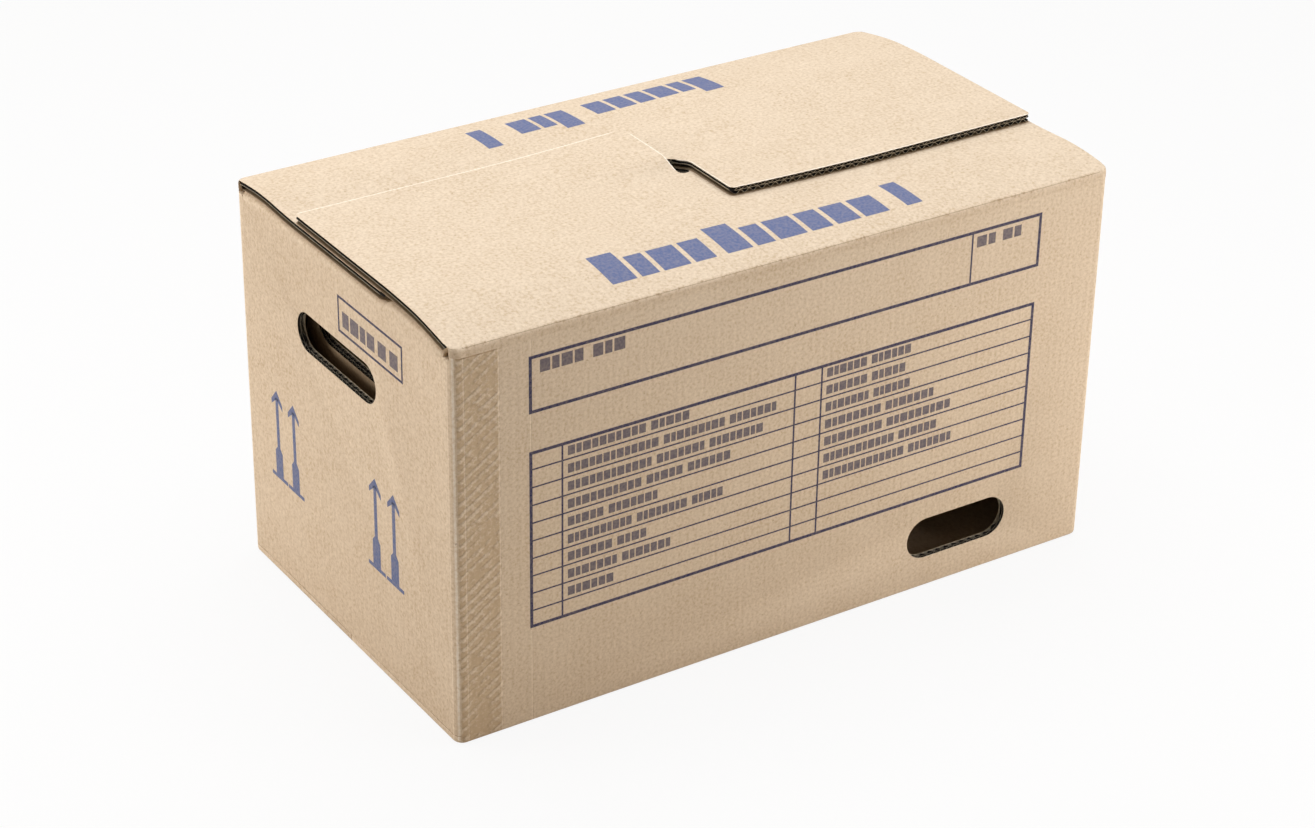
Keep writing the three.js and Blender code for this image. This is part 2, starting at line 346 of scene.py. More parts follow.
def flap_sheet(layer, tongue_radius):
    """One paper layer of the front flap as grids: the root up to the slot's end, and two tongues.

    x runs along the crease in columns, y from the mitred root to the free edge in rows, and z is
    the crease height less the layer's depth, plus the flap's lift, plus the flute's wave. The
    outer liner starts where its fold ends, and the inner one climbs the root's mitre."""
    s = sizes()
    depth, height, pitch = board_layers()[layer]
    step = pitch / FLUTE_STEPS if height else LINER_STEP
    slot = s.slot_width / 2
    join = -s.slot_reach + slot
    left = column_places(-FLAP_END, -slot, s.flap_corner, tongue_radius, step)
    right = column_places(slot, FLAP_END, s.flap_corner, s.flap_corner, step)
    arc = -slot * np.cos(np.linspace(0, np.pi, 13))
    every = np.unique(np.round(np.concatenate([left, arc, right]), 8))
    root_line = -HALF_WIDTH + s.crease_gap + depth
    start = -HALF_WIDTH + CREASE_REACH if layer == "outer" else root_line
    bulged = -HALF_WIDTH + s.crown_run
    root_rows = np.concatenate([np.linspace(start, bulged, 14), np.linspace(bulged, join, 12)[1:]])
    root_start = np.maximum(start, root_line + corner_shift(every))
    slot_end = join - np.sqrt(np.clip(slot**2 - every**2, 0, None))
    root_y = np.minimum(np.maximum(root_rows, root_start[:, None]), slot_end[:, None])
    climb = np.linspace(depth - 2 * s.liner, 0, 4)[:-1] if layer == "inner" else np.zeros(0)
    root_y = np.concatenate([root_start[:, None] - climb, root_y], axis=1)
    climbed = np.zeros(root_y.shape[1])
    climbed[: len(climb)] = climb
    left_edge = FREE_EDGE - rounded_end(left, -FLAP_END, -slot, s.flap_corner, tongue_radius)
    right_edge = FREE_EDGE - rounded_end(right, slot, FLAP_END, s.flap_corner, s.flap_corner)
    sheets = []
    for columns, y, raised in (
        (every, root_y, climbed),
        (left, join + (left_edge - join)[:, None] * TONGUE_ROWS, 0.0),
        (right, join + (right_edge - join)[:, None] * TONGUE_ROWS, 0.0),
    ):
        x = np.repeat(columns[:, None], y.shape[1], axis=1)
        z = CREASE_Z - depth + raised + flap_lift(x, y) + flute(x, height, pitch)
        faces = grid_faces(*y.shape)
        centre_x = x.reshape(-1)[faces].mean(axis=1)
        centre_y = y.reshape(-1)[faces].mean(axis=1)
        keep = np.ones(len(faces), bool)
        if layer in CORE_LAYERS:
            from_root = centre_y + HALF_WIDTH
            keep &= np.minimum(cut_distance(centre_x, centre_y), from_root) < s.edge_band
        if height:
            keep &= FLAP_END - np.abs(centre_x) > DRAWN_BACK
        sheets.append((np.stack([x, y, z], axis=-1), faces[keep]))
    return join_sheets(sheets)


def cut_distance(x, y):
    """Distance in the flap from its ends, its free edge or its slot, whichever is nearest."""
    slot = np.maximum(np.abs(x) - sizes().slot_width / 2, -sizes().slot_reach - y)
    return np.minimum(np.minimum(FLAP_END - np.abs(x), FREE_EDGE - y), slot)


def patches(quads, place, thickness, steps):
    """Thin closed patches of ink: each quad of plane points is a bilinear grid with an upper side,
    a lower side and a wall round it. place(u, v, height) puts plane points on the board."""
    t = np.linspace(0, 1, steps)
    a, b = np.meshgrid(t, t, indexing="ij")
    weights = np.stack([(1 - a) * (1 - b), a * (1 - b), a * b, (1 - a) * b]).reshape(4, -1)
    plane = np.einsum("qck,cn->qnk", np.asarray(quads, float), weights)
    upper = place(plane[..., 0], plane[..., 1], thickness)
    lower = place(plane[..., 0], plane[..., 1], 0.0)
    vertices = np.concatenate([upper, lower], axis=1)
    count = steps * steps
    cells = grid_faces(steps, steps)
    line = np.arange(steps)
    last = steps - 1
    rim = np.concatenate([
        line[:-1] * steps, last * steps + line[:-1], last * steps + last - line[:-1] * steps,
        last - line[:-1],
    ])
    after = np.roll(rim, -1)
    walls = np.stack([rim, after, after + count, rim + count], axis=-1)
    one = np.concatenate([cells, cells[:, ::-1] + count, walls])
    faces = one[None, :, :] + (np.arange(len(plane)) * 2 * count)[:, None, None]
    return vertices, faces.reshape(-1, 4)


def rectangle(x0, x1, y0, y1):
    """Corners of an upright rectangle, counter-clockwise."""
    return [(x0, y0), (x1, y0), (x1, y1), (x0, y1)]


def frame_lines(x0, x1, y0, y1, width):
    """Four strokes of a rectangular frame, drawn inwards from its outer edge."""
    return [
        rectangle(x0, x1, y0, y0 + width),
        rectangle(x0, x1, y1 - width, y1),
        rectangle(x0, x0 + width, y0 + width, y1 - width),
        rectangle(x1 - width, x1, y0 + width, y1 - width),
    ]


BLOCK_RHYTHM = (1.0, 0.72, 1.1, 0.86, 0.95)
BLOCK_GAP = 0.2


def word_blocks(start, end, count, base, height, tall_first=0.0):
    """A row of plain blocks in place of a word: widths in a fixed rhythm, with even gaps."""
    widths = np.resize(BLOCK_RHYTHM, count)
    pitch = (end - start) / (widths.sum() + BLOCK_GAP * (count - 1))
    left = start + pitch * (np.cumsum(widths) - widths + BLOCK_GAP * np.arange(count))
    tops = [tall_first or height] + [height] * (count - 1)
    return [rectangle(x, x + pitch * w, base, base + top) for x, w, top in zip(left, widths, tops)]


def words_line(start, end, letters, base, height, word_gap):
    """Several words of blocks in one line, sharing its length by their letter counts."""
    pitch = (end - start - word_gap * (len(letters) - 1)) / sum(letters)
    blocks = []
    x = start
    for count in letters:
        blocks += word_blocks(x, x + pitch * count, count, base, height)
        x += pitch * count + word_gap
    return blocks


def stadium(span, height, spacing):
    """Points round a long hole with round ends, and the outward normal at each."""
    radius = height / 2
    straight = span - height
    run = np.linspace(-straight / 2, straight / 2, int(straight / spacing))
    turn = np.linspace(-np.pi / 2, np.pi / 2, max(9, int(np.pi * radius / spacing)))[1:-1]
    low = np.stack([run, np.full_like(run, -radius)], axis=-1)
    right = np.stack([straight / 2 + radius * np.cos(turn), radius * np.sin(turn)], axis=-1)
    points = np.concatenate([low, right, -low, -right])
    middle = np.clip(points, [-straight / 2, 0.0], [straight / 2, 0.0])
    return points, (points - middle) / radius


# Hand holes as cut in the board: length, height, place along the wall, height up
END_HOLE = np.array([121.0, 32.0, 7.5, 240.0]) * MM
SIDE_HOLE = np.array([95.0, 35.0, 160.0, 44.5]) * MM
# Radius of the end folds, their gap below the long flaps, and the lean of the ply inside
FOLD_RADIUS = 7.0 * MM
FOLD_GAP = 0.3 * MM
PLY_LEAN = math.radians(7.5)
# Spacing of the points round a hole, for the groove that opens it and for its paper layers
GROOVE_STEP = 2.0 * MM
HOLE_STEP = 0.8 * MM


def hand_holes():
    """Each hole's centre on its board's outer face, the directions along, up and outward, and its
    length and height."""
    board = sizes().board
    fold = np.array([-HALF_LENGTH + FOLD_RADIUS, 0.0, CREASE_Z - board - FOLD_GAP - FOLD_RADIUS])
    sine, cosine = math.sin(PLY_LEAN), math.cos(PLY_LEAN)
    lean_out, lean_up = np.array([[-cosine, 0.0, -sine], [-sine, 0.0, cosine]])
    along_x, along_y, upright = np.eye(3)
    end_centre = np.array([-HALF_LENGTH, *END_HOLE[2:]])
    side_centre = np.array([SIDE_HOLE[2], -HALF_WIDTH, SIDE_HOLE[3]])
    ply_centre = fold - lean_out * (FOLD_RADIUS - board) + along_y * end_centre[1]
    ply_centre += lean_up * (end_centre[2] - fold[2])
    left = [
        (end_centre, along_y, upright, -along_x, END_HOLE[:2]),
        (ply_centre, along_y, lean_up, lean_out, END_HOLE[:2]),
        (side_centre, along_x, upright, -along_y, SIDE_HOLE[:2]),
    ]
    return left + [(*map(half_turn, hole[:4]), hole[4]) for hole in left]


def hole_points(hole, plane, depth):
    """Plane points of a hole, sunk by depth behind the board's outer face."""
    centre, along, up, out, _ = hole
    return centre + plane[..., :1] * along + plane[..., 1:] * up - np.asarray(depth)[..., None] * out


def groove_cutter():
    """Closed prisms that open the board between its liners round every hand hole."""
    s = sizes()
    sheets = []
    for hole in hand_holes():
        points, normals = stadium(*hole[4], GROOVE_STEP)
        ring = points + normals * s.hole_margin
        inner = np.zeros_like(ring)
        deep = s.board - s.liner
        corners = ((inner, s.liner), (ring, s.liner), (ring, deep), (inner, deep))
        rows = [hole_points(hole, plane, np.full(len(ring), depth)) for plane, depth in corners]
        sheets.append((np.stack(rows, axis=1), grid_faces(len(ring), 4, closed=True)))
    vertices, faces = join_sheets(sheets)
    behind = np.full(len(vertices), s.hole_margin)
    medium = bpy.data.materials["corrugating_medium"]
    return mesh_object("groove_cutter", vertices, faces, medium, behind)


def hole_sheets(layer):
    """A paper layer as a ring round every hand hole, from the cut edge into the board, with each
    vertex's distance from that edge."""
    depth, height, pitch = layer
    reach = np.concatenate([[0.1, 1.2], np.linspace(2.6, sizes().hole_margin / MM + 0.3, 3)]) * MM
    sheets = []
    behind = []
    for hole in hand_holes():
        points, normals = stadium(*hole[4], HOLE_STEP)
        plane = points[:, None, :] + normals[:, None, :] * reach[None, :, None]
        ring = hole_points(hole, plane, depth + flute(plane[..., 0], height, pitch))
        sheets.append((ring, grid_faces(len(points), len(reach), closed=True)))
        behind.append(np.tile(reach, len(points)))
    return (*join_sheets(sheets), np.concatenate(behind))


# Spots to the metre and their detail. Fibres about 2 mm apart show at this size, and real ones are
# finer. Clouds are about 40 mm wide, and the glue roller's patches 14 mm
GRAIN = {"Scale": 430.0, "Detail": 4.0, "Roughness": 0.62}
CLOUD = {"Scale": 24.0, "Detail": 3.0}
FLECKS = {"Scale": 300.0, "Detail": 1.0}
CRACKS = {"Scale": 300.0, "Detail": 2.0}
PATCHES = {"Scale": 70.0, "Detail": 2.0}
FLUTING = {"Scale": 600.0, "Detail": 3.0}
INK_SPOTS = {"Scale": 480.0, "Detail": 4.0}
# Where in a pattern's range its spots or lines start to show, and where they are full
FLECK_RANGE, CRACK_RANGE = (0.72, 0.78), (0.52, 0.7)
PATCH_RANGE, ROLLED_RANGE = (0.3, 0.55), (-0.4, 1.0)
# How much each pattern gives to the paper's tone, to its relief, and to its dark marks
GRAIN_TONE, CLOUD_TONE, FLUTE_TONE, PRESSED_TONE, STRIP_TONE = 0.85, 0.15, 0.014, 0.17, -0.2
SCORE_TONE, CORNER_TONE, EDGE_TONE = 0.13, 0.4, 0.6
GRAIN_RELIEF, FLUTE_RELIEF, PRESSED_RELIEF = 0.36, 0.16, 5.0
FLECK_MARK, CRACK_AND_SHADE_MARK = 0.5, 0.8
# Places along the ramp of tones, and their colours
TONE_STOPS = ((0.32, "kraft_dark"), (0.5, "kraft"), (0.72, "kraft_light"), (0.95, "rubbed"))
# Painted shade covers the inner liner, which is deeper than this inside the walls
INNER_DEPTH = 4.0 * MM
# The front wall's score lines and the strip that the glue roller pressed, from the middle
SCORE_LINES = (-277.4, -249.9, -224.4)
GLUE_STRIP_END = -0.250
ROLLED_SPACING = 0.0085
ROLLED_SLOPE = 0.65
ROLLED_WANDER = 0.004
# The lines that lean the other way are fainter
FALLING_SHARE = 0.3
# The painted shade line below the front fold, where along the wall it fades in, and the ends' score
# lines
CREASE_SHADE_DROP = 7.5 * MM
CREASE_SHADE_FADE = (-0.236, -0.266)
END_SCORE = 156.5 * MM
END_SCORE_SHARE = 0.6
# The rubbed fibres of the upright folds, from the sharp corner that they cut off
RUBBED_FROM, RUBBED_FULL = 4.86 * MM, 4.72 * MM
# Half the width of each kind of line
SCORE_HALF, CREASE_SHADE_HALF, END_SCORE_HALF = 0.9 * MM, 1.0 * MM, 0.8 * MM
FREE_HALF, SLOT_HALF, FOLD_HALF = 1.5 * MM, 1.2 * MM, 1.6 * MM


class Field:
    """A number at every point of a surface. Arithmetic on it adds the nodes that work it out."""

    def __init__(self, socket):
        self.socket = socket

    def work(self, operation, *others):
        tree = self.socket.id_data
        values = dict(enumerate((self, *others)))
        return Field(add(tree, "ShaderNodeMath", values, operation=operation).outputs[0])

    __add__ = partialmethod(work, "ADD")
    __sub__ = partialmethod(work, "SUBTRACT")
    __mul__ = partialmethod(work, "MULTIPLY")
    __lt__ = partialmethod(work, "LESS_THAN")
    __gt__ = partialmethod(work, "GREATER_THAN")
    __abs__ = partialmethod(work, "ABSOLUTE")
    most = partialmethod(work, "MAXIMUM")

    def rise(self, low, high):
        """0 at low and before it, 1 at high and after it, smooth between."""
        limits = {"Value": self, "From Min": low, "From Max": high}
        tree = self.socket.id_data
        node = add(tree, "ShaderNodeMapRange", limits, interpolation_type="SMOOTHSTEP")
        return Field(node.outputs[0])

    def line(self, centre, half_width):
        """1 on a line at centre, fading to 0 at half_width from it."""
        return abs(self - centre).rise(half_width, 0.0)

    def ridges(self, spacing):
        """A sine wave with this spacing."""
        return (self * (2 * math.pi / spacing)).work("SINE")


def matt_material(name, shine):
    """A new material's node tree, and its shader with the shine's values set."""
    material = bpy.data.materials.new(name)
    material.use_nodes = True
    shader = material.node_tree.nodes["Principled BSDF"]
    for key, value in shine.items():
        shader.inputs[key].default_value = value
    return material.node_tree, shader


def wall_marks(place, x, y, z, tone, height):
    """The wall's tone and height with the front's pressed glue strip and score lines and the rubbed
    upright folds, and a painted shade line under the front fold's crease."""
    front = y < -HALF_WIDTH + 1.0 * MM
    strip = front * x.rise(GLUE_STRIP_END + 1.0 * MM, GLUE_STRIP_END - 1.0 * MM)
    spots = add(place.id_data, "ShaderNodeTexNoise", {"Vector": place, **PATCHES})
    patchy = Field(spots.outputs["Fac"])
    wander = z + patchy * ROLLED_WANDER
    leaning = x * ROLLED_SLOPE
    falling = (wander + leaning).ridges(ROLLED_SPACING).rise(*ROLLED_RANGE) * FALLING_SHARE
    rolled = (wander - leaning).ridges(ROLLED_SPACING).rise(*ROLLED_RANGE) + falling
    pressed = strip * rolled * patchy.rise(*PATCH_RANGE)
    tone = tone + pressed * PRESSED_TONE + strip * STRIP_TONE
    height = height + pressed * PRESSED_RELIEF
    # Painted shade: a dark line under the front fold's crease, towards the left end
    crease_shade_and_cracks = front * x.rise(*CREASE_SHADE_FADE) * z.line(CREASE_Z - CREASE_SHADE_DROP, CREASE_SHADE_HALF)
    for score in SCORE_LINES:
        scored = front * x.line(score * MM, SCORE_HALF)
        tone = tone + scored * SCORE_TONE
        height = height - scored
    reach = HALF_LENGTH + HALF_WIDTH
    rubbed = (abs(x) + abs(y)).rise(reach - RUBBED_FROM, reach - RUBBED_FULL)
    scored = (x < -HALF_LENGTH + 2.0 * MM) * abs(y).line(END_SCORE, END_SCORE_HALF)
    tone = tone + rubbed.most(scored * END_SCORE_SHARE) * CORNER_TONE
    return tone, height, crease_shade_and_cracks


def flap_marks(place, outward, tongue, tone):
    """A flap's tone with the rubbed fibres of its free edges, and the fine cracks of its fold."""
    free = outward.line(FREE_EDGE, FREE_HALF)
    side = tongue.line(-sizes().slot_width / 2, SLOT_HALF) * (outward > -8.0 * MM)
    fold = outward.line(-HALF_WIDTH + 1.2 * MM, FOLD_HALF)
    spots = add(place.id_data, "ShaderNodeTexNoise", {"Vector": place, **CRACKS})
    broken = Field(spots.outputs["Fac"])
    return tone + free.most(side) * EDGE_TONE, fold * broken.rise(*CRACK_RANGE)


def kraft_liner(name, surface):
    """Unbleached kraft liner board: mottled brown paper, short fibres, bark flecks and the faint
    washboard of the flutes below. surface is wall, front_flap, rear_flap or inner."""
    c = colours()
    shine = {"Roughness": 0.82, "IOR": 1.45, "Specular IOR Level": 0.3}
    tree, shader = matt_material(name, shine)
    coordinates = add(tree, "ShaderNodeTexCoord")
    place = coordinates.outputs["Object"]
    x, y, z = map(Field, add(tree, "ShaderNodeSeparateXYZ", {0: place}).outputs)
    facing = add(tree, "ShaderNodeSeparateXYZ", {0: coordinates.outputs["Normal"]})
    grain, cloud, flecks = (
        Field(add(tree, "ShaderNodeTexNoise", {"Vector": place, **spots}).outputs["Fac"])
        for spots in (GRAIN, CLOUD, FLECKS)
    )
    along, across = x.ridges(sizes().fine_pitch), y.ridges(sizes().fine_pitch)
    waves = along + (across - along) * abs(Field(facing.outputs["X"]))
    tone = grain * GRAIN_TONE + cloud * CLOUD_TONE + waves * FLUTE_TONE
    height = grain * GRAIN_RELIEF + waves * FLUTE_RELIEF
    crease_shade_and_cracks = 0.0
    if surface == "wall":
        tone, height, crease_shade_and_cracks = wall_marks(place, x, y, z, tone, height)
    for node, _, sign in FLAPS:
        if surface == node:
            tone, crease_shade_and_cracks = flap_marks(place, y * sign, x * sign, tone)
    # Flecks, the flap folds' cracks and the painted shade line under the front fold take the fleck
    # colour
    marks = (flecks.rise(*FLECK_RANGE) * FLECK_MARK).most(crease_shade_and_cracks * CRACK_AND_SHADE_MARK)
    ramp = add(tree, "ShaderNodeValToRGB", {0: tone})
    stops = ramp.color_ramp.elements
    for position, shade in TONE_STOPS:
        stops.new(position).color = linear(getattr(c, shade))
    stops.remove(stops[0])
    stops.remove(stops[-1])
    flecked = {0: marks, 6: ramp.outputs[0], 7: linear(c.fleck_crack_and_shade)}
    paper = add(tree, "ShaderNodeMix", flecked, data_type="RGBA").outputs[2]
    # Painted shade: the paper inside the walls and on the flaps' inner liner is multiplied darker
    if surface in ("wall", "inner"):
        inside = 1.0
        if surface == "wall":
            inside = (abs(x) < HALF_LENGTH - INNER_DEPTH) * (abs(y) < HALF_WIDTH - INNER_DEPTH)
            inside = inside * (z > INNER_DEPTH)
        inside_shading = {0: inside, 6: (1.0, 1.0, 1.0, 1.0), 7: linear(c.inside_shade)}
        tint = add(tree, "ShaderNodeMix", inside_shading, data_type="RGBA").outputs[2]
        shaded_paper = {0: 1.0, 6: paper, 7: tint}
        paper = add(tree, "ShaderNodeMix", shaded_paper, data_type="RGBA", blend_type="MULTIPLY").outputs[2]
    bump = add(tree, "ShaderNodeBump", {"Strength": 0.5, "Distance": 0.0005, "Height": height})
    tree.links.new(paper, shader.inputs["Base Color"])
    tree.links.new(bump.outputs[0], shader.inputs["Normal"])


# The fluting paper takes the painted shade of the hollows from this many millimetres behind a cut edge
HOLLOW_SHADE_DEPTH = 0.25


def corrugating_medium():
    """Recycled fluting paper: its cut ends are pale, partly the paper's own colour and partly a painted
    highlight, and painted shade makes it dark in the hollows behind.
    """
    c = colours()
    tree, shader = matt_material("corrugating_medium", {"Roughness": 0.9})
    depth = add(tree, "ShaderNodeAttribute", attribute_name="cut_depth").outputs["Fac"]
    behind = add(tree, "ShaderNodeMapRange", {"Value": depth, "From Min": 0.0, "From Max": HOLLOW_SHADE_DEPTH})
    place = add(tree, "ShaderNodeTexCoord").outputs["Object"]
    speckle = add(tree, "ShaderNodeTexNoise", {"Vector": place, **FLUTING}).outputs["Fac"]
    # Cut ends are speckled between the hollow shade and the pale end colour, which is partly a painted
    # highlight
    mixed = {0: speckle, 6: linear(c.core), 7: linear(c.flute)}
    ends = add(tree, "ShaderNodeMix", mixed, data_type="RGBA").outputs[2]
    # Painted shade: past the hollow shade depth the fluting paper turns near black
    mixed = {0: behind.outputs[0], 6: ends, 7: linear(c.core)}
    mix = add(tree, "ShaderNodeMix", mixed, data_type="RGBA")
    tree.links.new(mix.outputs[2], shader.inputs["Base Color"])


def printing_ink(name, hex_colour, cover):
    """Water-based flexo ink on kraft: matt, and mottled where the paper's fibres show through."""
    tree, shader = matt_material(name, {"Roughness": 0.75, "Specular IOR Level": 0.3})
    place = add(tree, "ShaderNodeTexCoord").outputs["Object"]
    speckle = add(tree, "ShaderNodeTexNoise", {"Vector": place, **INK_SPOTS}).outputs["Fac"]
    shares = {"From Min": 0.35, "From Max": 0.75, "To Min": 1.0 - cover, "To Max": 1.18 - cover}
    thin = add(tree, "ShaderNodeMapRange", {"Value": speckle, **shares})
    mixed = {0: thin.outputs[0], 6: linear(hex_colour), 7: linear(colours().kraft)}
    mix = add(tree, "ShaderNodeMix", mixed, data_type="RGBA")
    tree.links.new(mix.outputs[2], shader.inputs["Base Color"])


def finish_piece(piece, body, slot, *nodes):
    """The piece rides on its body and stands for the given nodes."""
    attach(piece, body)
    if nodes:
        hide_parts(*nodes)


class MOVINGBOX_OT_papers(bpy.types.Operator):
    """Make the papers and the ink"""

    bl_idname = "moving_box.papers"
    bl_label = "Papers and ink"

    def execute(self, context):
        for surface in ("wall", "front_flap", "rear_flap", "inner"):
            kraft_liner(f"kraft_{surface}_liner", surface)
        corrugating_medium()
        printing_ink("blue_flexo_ink", colours().ink, 0.96)
        printing_ink("dark_form_ink", colours().ink_dark, 1.0)
        printing_ink("small_word_ink", colours().ink_dark, 0.84)
        return {"FINISHED"}


# The rounded top folds hide this much of the walls' mitre
MITRE_DROP = 2.8 * MM
# The short flaps' folds spring up under the long flaps by at most this much
FOLD_SPRING = 6.5 * MM
FOLD_HALF_WIDTH = 151.3 * MM
# How far in from the ends the folds reach, how far down they are lifted, and how far down cut
FOLD_ZONE = 30 * MM
FOLD_DEPTH = 15.5 * MM
FOLD_CUT_DEPTH = 16 * MM


def fold_stations():
    """Places along y where the end folds are cut across, closer where one flap ends."""
    step_down = np.arange(-76.0, -64.0, 2.0)
    return np.unique(np.concatenate([np.arange(-144.0, 145.0, 8.0), step_down, -step_down])) * MM


def is_end_fold(face):
    """True for faces of the round folds on top of the end walls."""
    return all(abs(v.co.x) > HALF_LENGTH - FOLD_ZONE for v in face.verts) and any(
        v.co.z > CREASE_Z - FOLD_CUT_DEPTH for v in face.verts
    )


def fold_lift(y):
    """Height that the left end's fold springs up to, just under the flap that lies on it."""
    front = np.minimum(flap_lift(np.full_like(y, -HALF_LENGTH), y), FOLD_SPRING)
    rear = flap_lift(np.full_like(y, HALF_LENGTH), -y)
    share = smooth_step(y, -FREE_EDGE - 10 * MM, -FREE_EDGE - 1 * MM)
    return front + (np.minimum(rear, FOLD_SPRING) - front) * share


def fitted_points(points):
    """The carton's vertices, drawn in under its paper skin, with the end folds sprung up."""
    limit = np.array([HALF_LENGTH - SKIN, HALF_WIDTH - SKIN, CREASE_Z - MITRE_DROP])
    points = np.clip(points, -limit, limit)
    x, y, z = points.T
    is_fold = (np.abs(x) > HALF_LENGTH - FOLD_ZONE) & (z > CREASE_Z - FOLD_DEPTH)
    is_fold &= np.abs(y) < FOLD_HALF_WIDTH
    points[:, 2] += np.where(is_fold, fold_lift(np.where(x < 0, y, -y)), 0.0)
    return points


class MOVINGBOX_OT_carton(bpy.types.Operator):
    """Make the folded and glued body with soft edges and open grooves at the hand holes"""

    bl_idname = "moving_box.carton"
    bl_label = "Carton body"

    def execute(self, context):
        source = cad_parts["carton_body"].data
        work = bmesh.new()
        work.from_mesh(source)
        bmesh.ops.remove_doubles(work, verts=work.verts, dist=2e-6)
        for place in fold_stations():
            folds = [face for face in work.faces if is_end_fold(face)]
            parts = {part for face in folds for part in (*face.verts, *face.edges, face)}
            bmesh.ops.bisect_plane(
                work, geom=list(parts), dist=1e-6, plane_co=(0.0, place, 0.0), plane_no=(0.0, 1.0, 0.0)
            )
        mesh = bpy.data.meshes.new("folded_carton")
        work.to_mesh(mesh)
        points = np.empty(len(mesh.vertices) * 3)
        mesh.vertices.foreach_get("co", points)
        mesh.vertices.foreach_set("co", fitted_points(points.reshape(-1, 3)).ravel())
        work.clear()
        work.from_mesh(mesh)
        flat = math.radians(0.5)
        bmesh.ops.dissolve_limit(work, angle_limit=flat, verts=work.verts, edges=work.edges)
        work.to_mesh(mesh)
        work.free()
        mesh.materials.clear()
        mesh.materials.append(bpy.data.materials["kraft_wall_liner"])
        carton = bpy.data.objects.new("folded_carton", mesh)
        context.scene.collection.objects.link(carton)
        bevel = carton.modifiers.new("soft_edges", "BEVEL")
        bevel.width = 0.3 * MM
        bevel.segments = 2
        bevel.limit_method = "ANGLE"
        bevel.angle_limit = math.radians(40)
        cutter = groove_cutter()
        groove = carton.modifiers.new("grooves", "BOOLEAN")
        groove.operation = "DIFFERENCE"
        groove.solver = "EXACT"
        groove.object = cutter
        groove.material_mode = "TRANSFER"
        normals = carton.modifiers.new("flat_panels", "WEIGHTED_NORMAL")
        normals.keep_sharp = True
        apply_modifiers(carton)
        bpy.data.objects.remove(cutter)
        finish_piece(carton, "carton", "kraft_body", "carton_body")
        return {"FINISHED"}


class MOVINGBOX_OT_hole_flutes(bpy.types.Operator):
    """Make the fluted layers that show round the hand holes"""

    bl_idname = "moving_box.hole_flutes"
    bl_label = "Flutes at the hand holes"

    def execute(self, context):
        medium = bpy.data.materials["corrugating_medium"]
        for name in CORE_LAYERS:
            vertices, faces, behind = hole_sheets(board_layers()[name])
            piece = mesh_object(f"hand_hole_{name}_layer", vertices, faces, medium, behind)
            thicken(piece, sizes().liner)
            finish_piece(piece, "carton", "kraft_body")
        return {"FINISHED"}


# Each flap, its tongue's corner, and the sign that turns the front flap's points to its place
FLAPS = (("front_flap", "front_tongue", 1.0), ("rear_flap", "rear_tongue", -1.0))


class MOVINGBOX_OT_flaps(bpy.types.Operator):
    """Make the two interlocked top flaps from liners and fluted layers"""

    bl_idname = "moving_box.flaps"
    bl_label = "Top flaps"

    def execute(self, context):
        for node, radius, sign in FLAPS:
            tongue_radius = getattr(sizes(), radius)
            for layer in board_layers():
                vertices, faces = flap_sheet(layer, tongue_radius)
                behind = cut_distance(vertices[:, 0], vertices[:, 1])
                vertices *= (sign, sign, 1.0)
                papers = {"outer": f"kraft_{node}_liner", "inner": "kraft_inner_liner"}
                paper = bpy.data.materials[papers.get(layer, "corrugating_medium")]
                piece = mesh_object(f"{node}_{layer}_layer", vertices, faces, paper, behind)
                thicken(piece, sizes().liner)
                finish_piece(piece, node, "kraft_flap", node)
        return {"FINISHED"}


class MOVINGBOX_OT_creases(bpy.types.Operator):
    """Make the outer liner's bend over each long top fold"""

    bl_idname = "moving_box.creases"
    bl_label = "Top creases"

    def execute(self, context):
        for node, _, sign in FLAPS:
            vertices, faces = crease_strip()
            vertices *= (sign, sign, 1.0)
            paper = bpy.data.materials[f"kraft_{node}_liner"]
            piece = mesh_object(f"{node}_fold", vertices, faces, paper)
            thicken(piece, sizes().liner)
            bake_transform(piece)
        return {"FINISHED"}


def crease_strip():
    """Sheet over the front fold: up the wall, a quarter circle, then on along the flap.

    The path runs half a liner below the outer face and follows the walls' round corners."""
    s = sizes()
    inset = s.liner / 2
    bend = s.crease_radius - inset
    turn = np.linspace(np.pi, np.pi / 2, 9)
    out = np.linspace(s.crease_radius, CREASE_REACH, 6)[1:]
    wall_y = np.full(3, inset)
    wall_z = np.linspace(-CREASE_DROP, -s.crease_radius, 4)[:-1]
    path_y = np.concatenate([wall_y, s.crease_radius + bend * np.cos(turn), out])
    path_z = np.concatenate([wall_z, -s.crease_radius + bend * np.sin(turn), np.full(len(out), -inset)])
    end = FLAP_END - CREASE_END
    corner = np.linspace(HALF_LENGTH - s.wall_corner, end, 8)
    x = np.concatenate([-corner[::-1], np.linspace(-corner[0], corner[0], 93)[1:-1], corner])
    shift = np.clip(corner_shift(x) - 0.5 * SKIN, 0, None)
    fade = 1.0 - smooth_step(path_y, s.crease_radius, CREASE_REACH)
    along = np.repeat(x[None, :], len(path_y), axis=0)
    y = -HALF_WIDTH + path_y[:, None] + fade[:, None] * shift
    z = CREASE_Z + path_z[:, None] + flap_lift(along, y)
    return np.stack([along, y, z], axis=-1), grid_faces(*y.shape)


# Widths of the form's lines in millimetres
FORM_RULE = 2.5
THIN_RULE = 1.2
MIDDLE_RULE = 1.5

